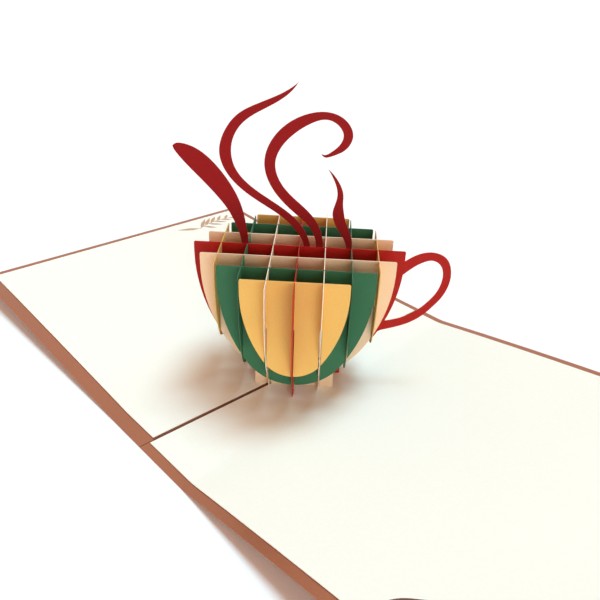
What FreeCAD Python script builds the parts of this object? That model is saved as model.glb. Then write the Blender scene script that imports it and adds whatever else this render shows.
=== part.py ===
import FreeCAD, Part
import math
import os

# Opened pop-up greeting card with a coffee cup made of crossing paper slats.
# Millimetres. The fold runs along Y, the two card halves lie to -X and +X, and +Z is up.
# The origin is on the cover's underside, on the fold, below the middle of the cup.

# Card: one folded cover sheet with a liner panel glued inside each half
COVER_THICKNESS = 0.4
LINER_THICKNESS = 0.3
GLUE_LAYER = 0.12
HALF_WIDTH = 146.0
FOLD_END_FRONT = 71.6
FOLD_END_BACK = 79.9
CREASE_WIDTH = 0.5
CREASE_DEPTH = 0.14

# Brown margins that the liners leave free, and the strip between them over the fold
FOLD_STRIP = 1.7
OUTER_MARGIN = 3.2
LEFT_FRONT_MARGIN = 5.8
LEFT_BACK_MARGIN = 3.2
RIGHT_FRONT_MARGIN = 3.6
RIGHT_BACK_MARGIN = 3.5

# Each half lies flat beside the fold, bends up over an arc and then relaxes over a wide one.
# The skew turns the line of the bend towards the fold at the back.
FLAT_REACH = 18.3
BEND_RADIUS = 25.0
LEFT_RISE_ANGLE = 3.6
LEFT_RELAX_ANGLE = 1.0
LEFT_SKEW_ANGLE = 0.0
RIGHT_RISE_ANGLE = 9.4
RIGHT_RELAX_ANGLE = 2.9
RIGHT_SKEW_ANGLE = 5.2

# Cup: seven slats each way, half-lapped into each other and turned 45 degrees to the fold.
# The lap hold is the paper that stays below a slot where an outline is shallow.
SLAT_PITCH = 9.6
SLATS_EACH_SIDE = 3
SLAT_THICKNESS = 0.3
SLOT_CLEARANCE = 0.5
LAP_DEPTH = 18.5
LAP_GAP = 0.1
LAP_HOLD = 3.0
CUP_TURN = 45.0
RIM_OVER_LINER = 55.3

# Bowl outline of the centre slat and of the first, second and third slat beside it: half
# width, height of its lowest point over the liner, and radius of the bottom arc as a share of
# the half width. A straight wall below the rim comes first, then a side arc, then the bottom.
BOWL_HALF_WIDTHS = (39.1, 35.2, 27.9, 18.7)
BOWL_CLEARANCES = (1.5, 4.4, 6.7, 17.2)
BOWL_ROUNDNESS = (0.91, 0.86, 0.735, 0.64)
BOWL_WALL = 4.0
RIM_CORNER = 0.6

# The round foot: how far it reaches past the first crossing, in the centre slats and beside them
FOOT_REACH_CENTRE = 8.2
FOOT_REACH_ACROSS = 5.6
FOOT_REACH_THROUGH = 3.2
FOOT_OVERLAP = 2.0

# Tongues under the foot stand in slits of the liners, on the cover
TONGUE_LENGTH = 3.6
TONGUE_MARGIN = 0.8
SLIT_CLEARANCE = 0.15

# Shapes cut in one piece with the centre slat, as stations of a ribbon: distance outwards,
# height over the rim, width. A width of zero is a pointed tip. The handle's distances are
# measured from the rim's end, all others from the cup's axis.
ROOT_DEPTH = 1.5
HANDLE = (
    (-2.3, -8.6, 4.2),
    (2.2, -4.7, 3.8),
    (6.1, -2.3, 3.6),
    (10.1, -1.5, 3.2),
    (13.8, -3.1, 3.3),
    (15.9, -7.6, 3.0),
    (15.8, -12.4, 2.9),
    (14.1, -17.3, 2.8),
    (11.3, -21.4, 2.8),
    (8.0, -25.1, 3.0),
    (3.7, -28.3, 3.2),
    (-1.4, -30.5, 3.4),
    (-9.4, -32.6, 4.4),
)
SPOON = (
    (-20.0, 0.0, 2.6),
    (-20.6, 4.0, 2.9),
    (-21.9, 8.9, 3.9),
    (-23.8, 14.0, 5.1),
    (-26.7, 19.0, 6.3),
    (-30.4, 23.9, 7.2),
    (-34.7, 28.6, 7.5),
    (-39.1, 32.4, 6.5),
    (-42.4, 34.5, 4.3),
    (-44.2, 35.3, 2.2),
    (-45.0, 35.5, 0.0),
)
LONG_SWIRL = (
    (2.9, 0.0, 2.2),
    (1.9, 3.0, 2.3),
    (-0.9, 7.6, 2.7),
    (-6.0, 12.4, 2.7),
    (-13.5, 17.3, 2.8),
    (-20.3, 22.2, 3.0),
    (-25.0, 27.8, 3.5),
    (-26.8, 34.0, 4.1),
    (-25.4, 40.4, 3.6),
    (-21.3, 46.0, 3.2),
    (-14.8, 50.0, 2.5),
    (-8.2, 53.4, 1.7),
    (-2.1, 58.5, 0.0),
)
CURL_SWIRL = (
    (7.3, 0.0, 2.6),
    (6.8, 3.8, 2.7),
    (4.9, 8.3, 3.1),
    (0.2, 13.4, 3.8),
    (-5.7, 18.8, 3.7),
    (-9.9, 24.8, 3.6),
    (-11.3, 31.0, 3.8),
    (-9.2, 37.6, 4.1),
    (-4.2, 43.2, 4.1),
    (2.0, 46.8, 3.3),
    (8.0, 47.9, 2.5),
    (13.0, 45.7, 2.9),
    (15.2, 41.4, 3.2),
    (13.6, 37.6, 2.6),
    (10.0, 35.0, 1.4),
    (7.7, 34.2, 0.8),
    (6.4, 34.9, 0.0),
)
SHORT_SWIRL = (
    (17.9, 0.0, 1.9),
    (17.7, 3.0, 2.6),
    (16.3, 6.2, 3.3),
    (14.3, 10.1, 3.9),
    (13.4, 13.9, 4.0),
    (13.6, 17.2, 2.7),
    (13.8, 20.4, 2.1),
    (12.9, 23.8, 1.5),
    (9.1, 29.6, 0.0),
)

# Heights that follow from the sheets
COVER_TOP = COVER_THICKNESS
LINER_BASE = COVER_TOP + GLUE_LAYER
LINER_TOP = LINER_BASE + LINER_THICKNESS
RIM_HEIGHT = LINER_TOP + RIM_OVER_LINER
SLOT_WIDTH = SLAT_THICKNESS + SLOT_CLEARANCE
SLIT_WIDTH = SLAT_THICKNESS + 2 * SLIT_CLEARANCE

# Rise, relax and skew of each half, and how far a half is drawn past the lines it is trimmed to
LEFT_FORM = (LEFT_RISE_ANGLE, LEFT_RELAX_ANGLE, LEFT_SKEW_ANGLE)
RIGHT_FORM = (RIGHT_RISE_ANGLE, RIGHT_RELAX_ANGLE, RIGHT_SKEW_ANGLE)
TRIM_ALLOWANCE = 12.0


def vector(x, y, z):
    return FreeCAD.Vector(x, y, z)


def half_path_point(distance, height, form):
    """Point of a card half, at a distance from the fold along the sheet and a height over it."""
    rise_angle, relax_angle, skew_angle = form
    rise = math.radians(rise_angle)
    relax = math.radians(relax_angle)
    relax_start = FLAT_REACH + BEND_RADIUS * rise
    relax_radius = (HALF_WIDTH - relax_start) / relax
    if distance <= FLAT_REACH:
        return distance, height
    if distance <= relax_start:
        angle = (distance - FLAT_REACH) / BEND_RADIUS
        inner = BEND_RADIUS - height
        return FLAT_REACH + inner * math.sin(angle), BEND_RADIUS - inner * math.cos(angle)
    bend_x = FLAT_REACH + BEND_RADIUS * math.sin(rise)
    bend_z = BEND_RADIUS * (1 - math.cos(rise))
    centre_x = bend_x + relax_radius * math.sin(rise)
    centre_z = bend_z - relax_radius * math.cos(rise)
    angle = rise - (distance - relax_start) / relax_radius
    outer = relax_radius + height
    return centre_x - outer * math.sin(angle), centre_z + outer * math.cos(angle)


def half_edges(side, height, form):
    """Edges along one face of a card half: a flat run, the bend and the relaxing arc."""
    relax_start = FLAT_REACH + BEND_RADIUS * math.radians(form[0])

    def point(distance):
        x, z = half_path_point(distance, height, form)
        return vector(side * x, 0, z)

    edges = [Part.LineSegment(point(-TRIM_ALLOWANCE), point(FLAT_REACH)).toShape()]
    last = HALF_WIDTH + TRIM_ALLOWANCE
    for low, high in ((FLAT_REACH, relax_start), (relax_start, last)):
        middle = point((low + high) / 2)
        edges.append(Part.Arc(point(low), middle, point(high)).toShape())
    return edges


def bent_sheet(side, heights, reach, ends, form):
    """Sheet of one card half between two heights, trimmed to its reach across and its ends."""
    lower = half_edges(side, heights[0], form)
    upper = half_edges(side, heights[1], form)
    edges = lower + upper
    for first, last in ((lower[0].firstVertex(), upper[0].firstVertex()),
                        (lower[-1].lastVertex(), upper[-1].lastVertex())):
        edges.append(Part.LineSegment(first.Point, last.Point).toShape())
    face = Part.Face(Part.Wire(Part.sortEdges(edges)[0]))
    front, back = ends
    drift = -side * math.tan(math.radians(form[2]))
    face.translate(vector(-drift * front, -front, 0))
    sheet = face.extrude(vector(drift * (front + back), front + back, 0))
    outer = half_path_point(reach[1], heights[0], form)[0]
    low_x = min(side * reach[0], side * outer)
    corner = vector(low_x, -front, 0)
    trim = Part.makeBox(outer - reach[0], front + back, HALF_WIDTH, corner)
    return sheet.common(trim)


def card_cover():
    """The one folded sheet, with the pressed crease as a groove on its inner face."""
    ends = (FOLD_END_FRONT, FOLD_END_BACK)
    left = bent_sheet(-1, (0, COVER_TOP), (0, HALF_WIDTH), ends, LEFT_FORM)
    right = bent_sheet(1, (0, COVER_TOP), (0, HALF_WIDTH), ends, RIGHT_FORM)
    corners = [
        vector(-CREASE_WIDTH / 2, -FOLD_END_FRONT, COVER_TOP),
        vector(CREASE_WIDTH / 2, -FOLD_END_FRONT, COVER_TOP),
        vector(0, -FOLD_END_FRONT, COVER_TOP - CREASE_DEPTH),
    ]
    section = Part.Face(Part.makePolygon(corners + corners[:1]))
    crease = section.extrude(vector(0, FOLD_END_FRONT + FOLD_END_BACK, 0))
    return left.fuse(right).cut(crease)


def liner(side, margins, form):
    """Panel glued on a card half, with a slit for each tongue that stands on this half."""
    reach = (FOLD_STRIP / 2, HALF_WIDTH - OUTER_MARGIN)
    ends = (FOLD_END_FRONT - margins[0], FOLD_END_BACK - margins[1])
    panel = bent_sheet(side, (LINER_BASE, LINER_TOP), reach, ends, form)
    return panel.cut(Part.makeCompound(tongue_slits()))


def foot_half_length(row, across):
    """Half length of a slat's foot, or zero where the slat has none."""
    if row == 0:
        return SLAT_PITCH + FOOT_REACH_CENTRE
    if abs(row) == 1:
        return SLAT_PITCH + (FOOT_REACH_ACROSS if across else FOOT_REACH_THROUGH)
    return 0.0


def tongue_centres(row, across):
    """Bay middles of a slat where a tongue fits under the foot, clear of the fold strip."""
    reach = foot_half_length(row, across) - TONGUE_MARGIN - TONGUE_LENGTH / 2
    strip_reach = (FOLD_STRIP / 2 + TONGUE_MARGIN) / math.sin(math.radians(CUP_TURN))
    centres = []
    for bay in range(-SLATS_EACH_SIDE, SLATS_EACH_SIDE):
        centre = (bay + 0.5) * SLAT_PITCH
        from_fold = abs(centre - row * SLAT_PITCH) - TONGUE_LENGTH / 2
        if abs(centre) <= reach and from_fold >= strip_reach:
            centres.append(centre)
    return centres


def place_slat(shape, row, across):
    """Turn a slat drawn in the XZ plane about the cup's axis and move it to its row."""
    turn = CUP_TURN if across else CUP_TURN + 90
    offset = row * SLAT_PITCH if across else -row * SLAT_PITCH
    placed = shape.copy()
    placed.translate(vector(0, offset, 0))
    placed.rotate(vector(0, 0, 0), vector(0, 0, 1), turn)
    return placed


def centred_box(low_x, high_x, low_z, high_z, width):
    """Box from low to high in X and Z, with its width centred on Y."""
    corner = vector(low_x, -width / 2, low_z)
    return Part.makeBox(high_x - low_x, width, high_z - low_z, corner)


def tongue_slits():
    """Cutters of all slits, through the liners only."""
    slits = []
    half = TONGUE_LENGTH / 2 + SLIT_CLEARANCE
    for across in (True, False):
        for row in range(-SLATS_EACH_SIDE, SLATS_EACH_SIDE + 1):
            for centre in tongue_centres(row, across):
                box = centred_box(centre - half, centre + half, LINER_BASE, LINER_TOP, SLIT_WIDTH)
                slits.append(place_slat(box, row, across))
    return slits


def sheet_from_face(face):
    """Solid of a face drawn in the XZ plane, one slat thickness deep and centred on Y."""
    flat = face.copy()
    flat.translate(vector(0, -SLAT_THICKNESS / 2, 0))
    return flat.extrude(vector(0, SLAT_THICKNESS, 0))


def bowl_depth(row):
    """Depth of a slat's bowl outline below the rim."""
    return RIM_OVER_LINER - BOWL_CLEARANCES[abs(row)]


def bowl_arcs(row):
    """Radii of a bowl outline's side and bottom arcs, which meet with one tangent."""
    half_width = BOWL_HALF_WIDTHS[abs(row)]
    depth = bowl_depth(row) - BOWL_WALL
    bottom = half_width * BOWL_ROUNDNESS[abs(row)]
    side = (half_width ** 2 + depth ** 2 - 2 * depth * bottom) / (2 * (half_width - bottom))
    return side, bottom


def bowl_point(row, angle):
    """Point of a bowl outline's right side where its normal has sunk by an angle."""
    side, bottom = bowl_arcs(row)
    half_width = BOWL_HALF_WIDTHS[abs(row)]
    arc_top = RIM_HEIGHT - BOWL_WALL
    bottom_centre = RIM_HEIGHT - bowl_depth(row) + bottom
    if angle < bowl_turn(row):
        x = half_width - side + side * math.cos(angle)
        return x, arc_top - side * math.sin(angle)
    return bottom * math.cos(angle), bottom_centre - bottom * math.sin(angle)


def bowl_turn(row):
    """Angle at which the side arc passes into the bottom arc."""
    side, bottom = bowl_arcs(row)
    drop = bowl_depth(row) - BOWL_WALL - bottom
    return math.atan2(drop, side - BOWL_HALF_WIDTHS[abs(row)])


def bowl_sheet(row):
    """Slat blank: rim with rounded corners, short walls and three arcs that make the bowl."""
    half_width = BOWL_HALF_WIDTHS[abs(row)]
    rim_end = half_width - RIM_CORNER
    slope = RIM_CORNER * math.sqrt(0.5)
    turn = bowl_turn(row)

    def point(angle, mirror):
        x, z = bowl_point(row, angle)
        return vector(mirror * x, 0, z)

    edges = []
    for mirror in (1, -1):
        rim_point = vector(mirror * rim_end, 0, RIM_HEIGHT)
        corner = vector(mirror * (rim_end + slope), 0, RIM_HEIGHT - RIM_CORNER + slope)
        wall_top = vector(mirror * half_width, 0, RIM_HEIGHT - RIM_CORNER)
        edges.append(Part.Arc(rim_point, corner, wall_top).toShape())
        edges.append(Part.LineSegment(wall_top, point(0, mirror)).toShape())
        side_arc = Part.Arc(point(0, mirror), point(turn / 2, mirror), point(turn, mirror))
        edges.append(side_arc.toShape())
    bottom_arc = Part.Arc(point(turn, 1), point(math.pi / 2, 1), point(turn, -1))
    edges.append(bottom_arc.toShape())
    rim = Part.LineSegment(vector(-rim_end, 0, RIM_HEIGHT), vector(rim_end, 0, RIM_HEIGHT))
    edges.append(rim.toShape())
    return sheet_from_face(Part.Face(Part.Wire(Part.sortEdges(edges)[0])))


def bowl_height(row, x):
    """Height of a bowl outline at a distance from its middle."""
    side, bottom = bowl_arcs(row)
    if x < bottom * math.cos(bowl_turn(row)):
        return RIM_HEIGHT - bowl_depth(row) + bottom - math.sqrt(bottom ** 2 - x ** 2)
    from_centre = x - BOWL_HALF_WIDTHS[abs(row)] + side
    return RIM_HEIGHT - BOWL_WALL - math.sqrt(side ** 2 - from_centre ** 2)


def foot_and_tongues(row, across):
    """Foot block of a slat and the tongues below it, as solids to be joined to its bowl."""
    half = foot_half_length(row, across)
    if half == 0:
        return []
    top = bowl_height(row, half) + FOOT_OVERLAP
    solids = [centred_box(-half, half, LINER_TOP, top, SLAT_THICKNESS)]
    for centre in tongue_centres(row, across):
        low = centre - TONGUE_LENGTH / 2
        high = centre + TONGUE_LENGTH / 2
        solids.append(centred_box(low, high, COVER_TOP, top, SLAT_THICKNESS))
    return solids


def crossing_rows(row):
    """Rows of the other direction that this slat meets: both outlines reach the crossing."""
    rows = []
    for other in range(-SLATS_EACH_SIDE, SLATS_EACH_SIDE + 1):
        here = BOWL_HALF_WIDTHS[abs(row)] > abs(other) * SLAT_PITCH + SLOT_WIDTH
        there = BOWL_HALF_WIDTHS[abs(other)] > abs(row) * SLAT_PITCH + SLOT_WIDTH
        if here and there:
            rows.append(other)
    return rows


def lap_height(row, other):
    """Height at which two crossing slats meet, with paper left below it in both outlines."""
    here = bowl_height(row, abs(other) * SLAT_PITCH + SLOT_WIDTH / 2)
    there = bowl_height(other, abs(row) * SLAT_PITCH + SLOT_WIDTH / 2)
    return max(RIM_HEIGHT - LAP_DEPTH, max(here, there) + LAP_HOLD)


def slots(row, across):
    """Half-lap slots: from below in the slats across, from the rim in the slats through."""
    cutters = []
    for other in crossing_rows(row):
        lap = lap_height(row, other)
        middle = other * SLAT_PITCH
        low_x = middle - SLOT_WIDTH / 2
        high_x = middle + SLOT_WIDTH / 2
        if across:
            box = centred_box(low_x, high_x, 0, lap + LAP_GAP / 2, 2 * SLAT_THICKNESS)
        else:
            top = RIM_HEIGHT + SLAT_THICKNESS
            box = centred_box(low_x, high_x, lap - LAP_GAP / 2, top, 2 * SLAT_THICKNESS)
        cutters.append(box)
    return cutters


def ribbon(stations, base_height):
    """Sheet shape of changing width along a smooth line through its stations."""
    centres = [vector(x, 0, base_height + z) for x, z, width in stations]
    line = Part.BSplineCurve()
    line.interpolate(centres)
    sides = ([], [])
    for centre, (x, z, width) in zip(centres, stations):
        tangent = line.tangent(line.parameter(centre))[0]
        normal = vector(-tangent.z, 0, tangent.x)
        for side, sign in zip(sides, (1, -1)):
            side.append(centre + normal * (sign * width / 2))
    edges = []
    for side in sides:
        curve = Part.BSplineCurve()
        curve.interpolate(side)
        edges.append(curve.toShape())
    for end, station in ((0, stations[0]), (-1, stations[-1])):
        if station[2] > 0:
            edges.append(Part.LineSegment(sides[0][end], sides[1][end]).toShape())
    return sheet_from_face(Part.Face(Part.Wire(Part.sortEdges(edges)[0])))


def rooted(stations):
    """A rising ribbon's stations, begun a little below the rim so that it joins the slat."""
    x, z, width = stations[0]
    return ((x, z - ROOT_DEPTH, width),) + stations[1:]


def slat(row, across):
    """One slat of the cup, with its foot, tongues and slots."""
    body = bowl_sheet(row)
    for block in foot_and_tongues(row, across):
        body = body.fuse(block)
    return body.cut(Part.makeCompound(slots(row, across)))


def handle_and_steam_slat():
    """Centre slat, cut in one piece with the handle, the spoon and the three steam swirls."""
    sheet = slat(0, True)
    rim_end = BOWL_HALF_WIDTHS[0]
    handle = tuple((rim_end + x, z, width) for x, z, width in HANDLE)
    sheet = sheet.fuse(ribbon(handle, RIM_HEIGHT))
    for stations in (SPOON, LONG_SWIRL, CURL_SWIRL, SHORT_SWIRL):
        sheet = sheet.fuse(ribbon(rooted(stations), RIM_HEIGHT))
    return sheet


def write_part(name, shape):
    """Write one sub-part as a single solid."""
    clean = shape.removeSplitter()
    solid = clean.Solids[0]
    print(name, "solids", len(clean.Solids), "valid", solid.isValid(), "volume", round(solid.Volume, 2))
    solid.exportStep("parts/" + name + ".step")


def build():
    os.makedirs("parts", exist_ok=True)
    write_part("card_cover", card_cover())
    left_margins = (LEFT_FRONT_MARGIN, LEFT_BACK_MARGIN)
    right_margins = (RIGHT_FRONT_MARGIN, RIGHT_BACK_MARGIN)
    write_part("left_liner", liner(-1, left_margins, LEFT_FORM))
    write_part("right_liner", liner(1, right_margins, RIGHT_FORM))
    for row in range(-SLATS_EACH_SIDE, SLATS_EACH_SIDE + 1):
        number = row + SLATS_EACH_SIDE + 1
        if row == 0:
            write_part("handle_and_steam_slat", place_slat(handle_and_steam_slat(), row, True))
        else:
            write_part("across_slat_%d" % number, place_slat(slat(row, True), row, True))
        write_part("through_slat_%d" % number, place_slat(slat(row, False), row, False))


build()
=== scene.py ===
import bmesh
import bpy
import math
from mathutils import Euler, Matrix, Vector
from mathutils.bvhtree import BVHTree


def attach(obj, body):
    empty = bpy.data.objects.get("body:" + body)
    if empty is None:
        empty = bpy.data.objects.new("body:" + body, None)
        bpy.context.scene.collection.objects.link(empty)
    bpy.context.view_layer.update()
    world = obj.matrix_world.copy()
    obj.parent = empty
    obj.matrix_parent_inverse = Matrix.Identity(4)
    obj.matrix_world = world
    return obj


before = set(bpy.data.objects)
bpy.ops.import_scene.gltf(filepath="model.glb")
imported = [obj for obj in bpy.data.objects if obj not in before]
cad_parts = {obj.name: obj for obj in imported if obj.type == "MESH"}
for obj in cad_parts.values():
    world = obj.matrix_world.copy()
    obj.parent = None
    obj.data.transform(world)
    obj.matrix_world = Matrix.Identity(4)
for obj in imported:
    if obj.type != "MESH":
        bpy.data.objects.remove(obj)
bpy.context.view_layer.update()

# Opened pop-up greeting card: a paper coffee cup of crossing slats over a copper-brown cover
# with ivory liners. Metres, in the row frame. The fold runs along Y and +Z is up.
MILLIMETRE = 0.001

# Camera at the photograph's angle
CAMERA_PLACE = (0.167325, -0.154771, 0.159894)
CAMERA_TURN = (60.9657, -1.8274, 48.1114)
CAMERA_LENS = 40.744
CAMERA_SHIFT = 1 / 600

# Directions in the row frame: along the slats across, towards the photograph's right, and
# along the slats through, away from the camera
ACROSS = Vector((math.sqrt(0.5), math.sqrt(0.5), 0))
THROUGH = Vector((-math.sqrt(0.5), math.sqrt(0.5), 0))

# Paper colours as they are seen, 0 to 255
GOLD = (236, 196, 112)
GREEN = (59, 117, 85)
CREAM = (241, 218, 187)
RED = (177, 33, 27)
COVER_BROWN = (172, 110, 82)
LINER_IVORY = (253, 253, 243)
INK = (204, 164, 132)
# The next colour is the front sprig's ink: the same ink, painted darker as painted shade for the
# dark reflection it shows
INK_PAINTED_SHADE = (112, 76, 66)

# Each slat paper's colour and the colour of its cut edges, and the papers of the seven rows
PAPERS = {
    "gold": (GOLD, (222, 180, 110)),
    "green": (GREEN, (66, 108, 84)),
    "cream": (CREAM, (253, 232, 208)),
    "red": (RED, (200, 50, 32)),
}
ROW_PAPERS = ("gold", "green", "cream", "red", "cream", "green", "gold")

# The red slat is one sheet; over the rim it is painted a darker crimson, painted shade that
# is deepest where the steam leaves the rim. Heights of the change
STEAM_PAINTED_SHADE_RED = (150, 14, 16)
STEAM_ROOT = (0.0560, 0.0568)
STEAM_CLEAR = (0.058, 0.074)
ROOT_SHADE = 0.60

# Painted shade: the strip between the liners is painted darker up to the liners' front end,
# and the pressed fold gets a slightly darker line of painted shade with a rougher finish;
# distances beside the fold and along it
STRIP_SHADE = 0.68
STRIP_REACH = (0.0009, 0.0013)
STRIP_END = (-0.0662, -0.0655)
CREASE_SHADE = 0.88
CREASE_ROUGHNESS = 0.9
CREASE_REACH = (0.0003, 0.0004)

# Slat paper: scales of its cloudiness, fibre and grain, with the shades and roughness they give
NOISE_SPAN = (0.3, 0.7)
SLAT_CLOUD_SCALE = 40
SLAT_CLOUD = (0.975, 1.02)
SLAT_FIBRE_SCALE = 2200
SLAT_FIBRE = (0.97, 1.03)
SLAT_GRAIN_SCALE = 2600
SLAT_ROUGHNESS = (0.40, 0.54)
SLAT_BUMP = 0.35

# Cover, liners and prints: scale of the cloudiness, and the grain's scale over the fibre's
SHEET_CLOUD_SCALE = 28
SHEET_GRAIN_RATIO = 1.7
SHEET_BUMP = 0.2

GRAIN_DEPTH = 0.00002
PAPER_SPECULAR = 0.15

# Levels that a white surface facing each source would show, in red, green and blue
WORLD_LEVEL = (0.57, 0.31, 0.19)
KEY_LEVEL = (0.45, 0.715, 0.835)
FRONT_LEVEL = (0.41, 0.42, 0.415)
FLOOR_WHITE = 0.96
FLOOR_LIFT = 0.06
FLOOR_HALF = 6.0

# Angular width of each lamp, in degrees
KEY_SOFTNESS = 27
FRONT_SOFTNESS = 34


def linear(colour):
    """Linear RGBA of a colour given as it is seen, 0 to 255."""
    values = []
    for channel in colour:
        share = channel / 255
        low = share <= 0.04045
        values.append(share / 12.92 if low else ((share + 0.055) / 1.055) ** 2.4)
    return (*values, 1.0)


class Graph:
    """Small helper that adds and links the nodes of one material."""

    def __init__(self, name):
        self.material = bpy.data.materials.new(name)
        self.material.use_nodes = True
        self.nodes = self.material.node_tree.nodes
        self.links = self.material.node_tree.links
        self.shader = self.nodes["Principled BSDF"]

    def add(self, kind, **settings):
        node = self.nodes.new(kind)
        for name, value in settings.items():
            setattr(node, name, value)
        return node

    def link(self, output, socket):
        self.links.new(output, socket)

    def coordinates(self):
        return self.add("ShaderNodeTexCoord").outputs["Object"]

    def noise(self, place, scale, detail):
        """Noise from 0 to 1, with most of it within NOISE_SPAN."""
        texture = self.add("ShaderNodeTexNoise")
        texture.inputs["Scale"].default_value = scale
        texture.inputs["Detail"].default_value = detail
        self.link(place, texture.inputs["Vector"])
        return texture.outputs["Fac"]

    def spread(self, value, low, high, start=0.0, end=1.0):
        """Maps start..end of a value onto low..high."""
        node = self.add("ShaderNodeMapRange")
        node.inputs["From Min"].default_value = start
        node.inputs["From Max"].default_value = end
        node.inputs["To Min"].default_value = low
        node.inputs["To Max"].default_value = high
        self.link(value, node.inputs["Value"])
        return node.outputs["Result"]

    def mix(self, factor, first, second):
        """Colour mix; first and second are colours or outputs."""
        node = self.add("ShaderNodeMix", data_type="RGBA")
        self.link(factor, node.inputs["Factor"])
        for value, socket in ((first, node.inputs["A"]), (second, node.inputs["B"])):
            if isinstance(value, tuple):
                socket.default_value = value
            else:
                self.link(value, socket)
        return node.outputs["Result"]

    def shade(self, colour, *factors):
        """Colour or output times each factor."""
        for factor in factors:
            node = self.add("ShaderNodeVectorMath", operation="SCALE")
            if isinstance(colour, tuple):
                node.inputs[0].default_value = colour[:3]
            else:
                self.link(colour, node.inputs[0])
            self.link(factor, node.inputs["Scale"])
            colour = node.outputs["Vector"]
        return colour

    def math(self, operation, *values):
        node = self.add("ShaderNodeMath", operation=operation)
        for value, socket in zip(values, node.inputs):
            self.link(value, socket)
        return node.outputs["Value"]

    def bump(self, height, distance, strength):
        node = self.add("ShaderNodeBump")
        node.inputs["Distance"].default_value = distance
        node.inputs["Strength"].default_value = strength
        self.link(height, node.inputs["Height"])
        self.link(node.outputs["Normal"], self.shader.inputs["Normal"])

    def edge_mask(self, direction):
        """1 on cut edges, 0 on the sheet's faces, whose normals lie along a direction."""
        normal = self.add("ShaderNodeNewGeometry").outputs["True Normal"]
        dot = self.add("ShaderNodeVectorMath", operation="DOT_PRODUCT")
        dot.inputs[1].default_value = direction
        self.link(normal, dot.inputs[0])
        absolute = self.add("ShaderNodeMath", operation="ABSOLUTE")
        self.link(dot.outputs["Value"], absolute.inputs[0])
        return self.spread(absolute.outputs["Value"], 1.0, 0.0, 0.4, 0.6)


def slat_paper(name, colour, edge_colour, face_direction):
    """Pearl-coated paper of a slat: faintly mottled, finely grained, with plain cut edges."""
    graph = Graph(name)
    place = graph.coordinates()
    cloud = graph.spread(graph.noise(place, SLAT_CLOUD_SCALE, 2.0), *SLAT_CLOUD, *NOISE_SPAN)
    fibre = graph.spread(graph.noise(place, SLAT_FIBRE_SCALE, 2.0), *SLAT_FIBRE, *NOISE_SPAN)
    base = graph.mix(graph.edge_mask(face_direction), linear(colour), linear(edge_colour))
    factors = [cloud, fibre]
    # Painted shade on the red slat: above the rim a darker crimson, darkest where the steam
    # leaves the rim
    if colour == RED:
        parts = graph.add("ShaderNodeSeparateXYZ")
        graph.link(place, parts.inputs[0])
        height = parts.outputs["Z"]
        base = graph.mix(graph.spread(height, 0.0, 1.0, *STEAM_ROOT), base, linear(STEAM_PAINTED_SHADE_RED))
        bowl = graph.spread(height, 1.0, 0.0, *STEAM_ROOT)
        clear = graph.spread(height, ROOT_SHADE, 1.0, *STEAM_CLEAR)
        factors.append(graph.math("MAXIMUM", bowl, clear))
    graph.link(graph.shade(base, *factors), graph.shader.inputs["Base Color"])
    grain = graph.noise(place, SLAT_GRAIN_SCALE, 3.0)
    rough = graph.spread(grain, *SLAT_ROUGHNESS, *NOISE_SPAN)
    graph.link(rough, graph.shader.inputs["Roughness"])
    graph.bump(grain, GRAIN_DEPTH, SLAT_BUMP)
    graph.shader.inputs["Specular IOR Level"].default_value = PAPER_SPECULAR
    graph.shader.inputs["Subsurface Weight"].default_value = 0.35
    graph.shader.inputs["Subsurface Radius"].default_value = (1.0, 0.45, 0.25)
    graph.shader.inputs["Subsurface Scale"].default_value = 0.0003
    return graph.material


def sheet_material(name, colour, fibre_scale, contrast, roughness, metal, fold=False):
    """Uncoated or satin sheet: faint cloudiness and a fine fibre grain, with painted shade on
    the fold.
    """
    graph = Graph(name)
    place = graph.coordinates()
    low, high = 1 - contrast, 1 + contrast
    cloud = graph.spread(graph.noise(place, SHEET_CLOUD_SCALE, 3.0), low, 1.0, *NOISE_SPAN)
    fibre = graph.spread(graph.noise(place, fibre_scale, 3.0), low, high, *NOISE_SPAN)
    grain = graph.noise(place, fibre_scale * SHEET_GRAIN_RATIO, 3.0)
    rough = graph.spread(grain, *roughness, *NOISE_SPAN)
    factors = [cloud, fibre]
    # Painted shade along the fold: a darker strip between the liners and a darker crease
    if fold:
        parts = graph.add("ShaderNodeSeparateXYZ")
        graph.link(place, parts.inputs[0])
        beside = graph.math("ABSOLUTE", parts.outputs["X"])
        strip = graph.spread(beside, STRIP_SHADE, 1.0, *STRIP_REACH)
        margin = graph.spread(parts.outputs["Y"], 1.0, 0.0, *STRIP_END)
        factors.append(graph.math("MAXIMUM", strip, margin))
        factors.append(graph.spread(beside, CREASE_SHADE, 1.0, *CREASE_REACH))
        worn = graph.spread(beside, CREASE_ROUGHNESS, 0.0, *CREASE_REACH)
        rough = graph.math("MAXIMUM", rough, worn)
    graph.link(graph.shade(linear(colour), *factors), graph.shader.inputs["Base Color"])
    graph.link(rough, graph.shader.inputs["Roughness"])
    graph.bump(grain, GRAIN_DEPTH, SHEET_BUMP)
    graph.shader.inputs["Specular IOR Level"].default_value = PAPER_SPECULAR
    graph.shader.inputs["Metallic"].default_value = metal
    return graph.material


def dress(node_name, material):
    """Gives a CAD node its material in every slot."""
    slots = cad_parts[node_name].material_slots
    for material_slot in slots:
        material_slot.material = material


def dress_card():
    cover = sheet_material("cover_card", COVER_BROWN, 1300, 0.04, (0.28, 0.36), 0.65, fold=True)
    ivory = sheet_material("ivory_paper", LINER_IVORY, 900, 0.012, (0.6, 0.8), 0.0)
    dress("card_cover", cover)
    dress("left_liner", ivory)
    dress("right_liner", ivory)


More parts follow.
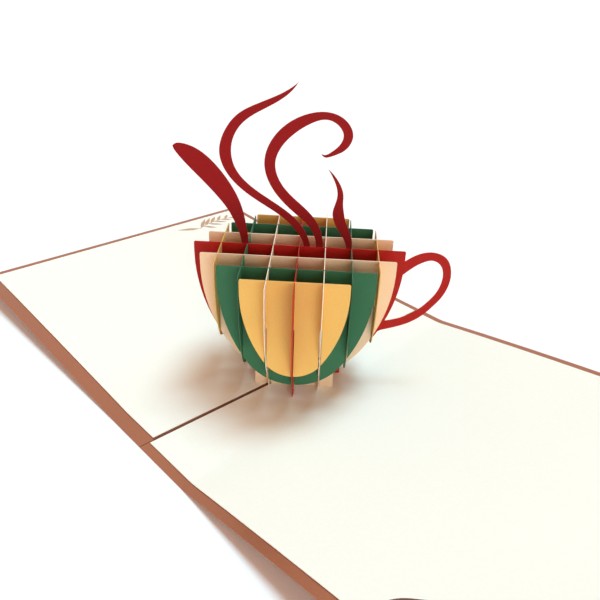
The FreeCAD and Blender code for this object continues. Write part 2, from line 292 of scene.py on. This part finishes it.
def dress_slats():
    directions = (("across", THROUGH), ("through", ACROSS))
    for way, face_direction in directions:
        papers = {}
        for row, paper in enumerate(ROW_PAPERS, start=1):
            if paper not in papers:
                name = "%s_paper_%s" % (paper, way)
                papers[paper] = slat_paper(name, *PAPERS[paper], face_direction)
            node_name = "%s_slat_%d" % (way, row)
            if way == "across" and row == 4:
                node_name = "handle_and_steam_slat"
            dress(node_name, papers[paper])


# Generic printed sprig: leaves as distance along the stem, turn from the stem, length, width
STEM_LENGTH = 25.0
STEM_WIDTH = 0.5
STEM_BOW = 2.2
INK_HEIGHT = 0.03
INK_ROOT = 0.05
SPRIG_LEAVES = (
    (0.0, 152, 13.0, 2.5),
    (1.5, 40, 12.0, 2.2),
    (3.5, -50, 8.0, 1.9),
    (5.5, 36, 10.0, 2.1),
    (8.0, -44, 8.5, 1.8),
    (10.0, 34, 9.0, 2.0),
    (12.5, -40, 7.5, 1.7),
    (15.0, 36, 7.5, 1.8),
    (17.5, -38, 6.5, 1.5),
    (20.0, 34, 6.0, 1.6),
    (22.5, -32, 5.0, 1.3),
    (25.0, 4, 5.5, 1.5),
)


def stem_point(along):
    """Point of the bowed stem, with the stem's chord along X."""
    share = along / STEM_LENGTH
    return Vector((along, 4 * STEM_BOW * share * (1 - share), 0))


def leaf_outline(base, turn, length, width):
    """Closed lance-shaped outline from a base point."""
    heading = Vector((math.cos(turn), math.sin(turn), 0))
    across = Vector((-heading.y, heading.x, 0))
    steps = 9
    left, right = [], []
    for step in range(1, steps):
        share = step / steps
        half = width / 2 * math.sin(math.pi * share ** 0.8) ** 1.2
        left.append(base + heading * (length * share) + across * half)
        right.append(base + heading * (length * share) - across * half)
    return [base] + left + [base + heading * length] + right[::-1]


def stem_outline():
    steps = 16
    left, right = [], []
    for step in range(steps + 1):
        point = stem_point(STEM_LENGTH * step / steps)
        left.append(point + Vector((0, STEM_WIDTH / 2, 0)))
        right.append(point - Vector((0, STEM_WIDTH / 2, 0)))
    return left + right[::-1]


def liner_surface(node_name):
    depsgraph = bpy.context.evaluated_depsgraph_get()
    return BVHTree.FromObject(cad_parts[node_name], depsgraph)


def sprig(name, liner_name, start, heading, leaves, material):
    """Printed sprig as a thin relief that follows the liner below it."""
    surface = liner_surface(liner_name)
    outlines = [stem_outline()]
    for along, turn, length, width in leaves:
        outlines.append(leaf_outline(stem_point(along), math.radians(turn), length, width))
    turned = Euler((0, 0, math.radians(heading))).to_matrix()
    mesh = bmesh.new()
    for outline in outlines:
        flat = []
        for point in outline:
            flat.append((turned @ point + Vector(start)) * MILLIMETRE)
        top, bottom = [], []
        for point in flat:
            hit = surface.ray_cast(Vector((point.x, point.y, 0.1)), Vector((0, 0, -1)))[0]
            top.append(mesh.verts.new(hit + Vector((0, 0, INK_HEIGHT * MILLIMETRE))))
            bottom.append(mesh.verts.new(hit - Vector((0, 0, INK_ROOT * MILLIMETRE))))
        mesh.faces.new(top)
        mesh.faces.new(bottom[::-1])
        count = len(flat)
        for index in range(count):
            following = (index + 1) % count
            mesh.faces.new((top[index], bottom[index], bottom[following], top[following]))
    bmesh.ops.recalc_face_normals(mesh, faces=mesh.faces)
    data = bpy.data.meshes.new(name)
    mesh.to_mesh(data)
    mesh.free()
    data.materials.append(material)
    piece = bpy.data.objects.new(name, data)
    bpy.context.scene.collection.objects.link(piece)
    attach(piece, "root")


def add_sprigs():
    ink = sheet_material("sprig_ink", INK, 1100, 0.10, (0.35, 0.5), 0.5)
    sprig("sprig_back", "left_liner", (-131.6, 44.5, 0), 95, SPRIG_LEAVES, ink)
    # The front sprig gets a darker copy of the same ink: painted shade
    shaded_ink = sheet_material("sprig_ink_painted_shade", INK_PAINTED_SHADE, 1100, 0.10, (0.35, 0.5), 0.3)
    sprig("sprig_front", "right_liner", (99.6, -62.3, 0), 9, SPRIG_LEAVES[1:], shaded_ink)


def camera_ray(nodes, links):
    """1 where the camera sees the surface directly, in a gloss or through something."""
    path = nodes.new("ShaderNodeLightPath")
    total = path.outputs["Is Camera Ray"]
    for name in ("Is Glossy Ray", "Is Transmission Ray"):
        either = nodes.new("ShaderNodeMath")
        either.operation = "MAXIMUM"
        links.new(total, either.inputs[0])
        links.new(path.outputs[name], either.inputs[1])
        total = either.outputs["Value"]
    return total


def add_world():
    world = bpy.data.worlds.new("studio")
    bpy.context.scene.world = world
    world.use_nodes = True
    nodes, links = world.node_tree.nodes, world.node_tree.links
    seen = nodes.new("ShaderNodeMix")
    seen.data_type = "RGBA"
    seen.inputs["A"].default_value = (*WORLD_LEVEL, 1)
    seen.inputs["B"].default_value = (1, 1, 1, 1)
    links.new(camera_ray(nodes, links), seen.inputs["Factor"])
    background = nodes["Background"]
    background.inputs["Strength"].default_value = 1.0
    links.new(seen.outputs["Result"], background.inputs["Color"])


def add_floor():
    graph = Graph("studio_floor")
    graph.shader.inputs["Base Color"].default_value = (FLOOR_WHITE, FLOOR_WHITE, FLOOR_WHITE, 1)
    graph.shader.inputs["Roughness"].default_value = 0.9
    graph.shader.inputs["Specular IOR Level"].default_value = 0.1
    graph.shader.inputs["Emission Color"].default_value = (1, 1, 1, 1)
    lift = graph.spread(camera_ray(graph.nodes, graph.links), 0.0, FLOOR_LIFT)
    graph.link(lift, graph.shader.inputs["Emission Strength"])
    half = FLOOR_HALF
    data = bpy.data.meshes.new("floor")
    corners = ((-half, -half, 0), (half, -half, 0), (half, half, 0), (-half, half, 0))
    data.from_pydata(corners, [], [(0, 1, 2, 3)])
    data.materials.append(graph.material)
    floor = bpy.data.objects.new("floor", data)
    bpy.context.scene.collection.objects.link(floor)


def add_lamp(name, direction, softness, level):
    """Far soft lamp; level is what a white surface that faces it shows, softness in degrees."""
    data = bpy.data.lights.new(name, "SUN")
    data.angle = math.radians(softness)
    data.energy = max(level) * math.pi
    data.color = [share / max(level) for share in level]
    lamp = bpy.data.objects.new(name, data)
    towards = Vector(direction).normalized()
    lamp.location = towards
    lamp.rotation_euler = towards.to_track_quat("Z", "Y").to_euler()
    bpy.context.scene.collection.objects.link(lamp)


def add_lights():
    """The key stands behind the cup on the right, so that the shadow falls to the front left."""
    up = Vector((0, 0, 1))
    towards = up * 0.96 + ACROSS * 0.24 + THROUGH * 0.14
    add_lamp("key", towards, KEY_SOFTNESS, KEY_LEVEL)
    towards = up * 0.14 - THROUGH * 0.93 + ACROSS * 0.34
    add_lamp("front", towards, FRONT_SOFTNESS, FRONT_LEVEL)


def add_camera():
    data = bpy.data.cameras.new("camera")
    data.lens = CAMERA_LENS
    data.sensor_width = 36.0
    data.shift_x = CAMERA_SHIFT
    data.clip_start = 0.01
    camera = bpy.data.objects.new("camera", data)
    camera.location = CAMERA_PLACE
    camera.rotation_euler = [math.radians(turn) for turn in CAMERA_TURN]
    bpy.context.scene.collection.objects.link(camera)
    bpy.context.scene.camera = camera


bpy.context.scene.view_settings.view_transform = "Standard"
add_camera()
dress_card()
dress_slats()
add_sprigs()
add_world()
add_floor()
add_lights()

bpy.context.view_layer.update()
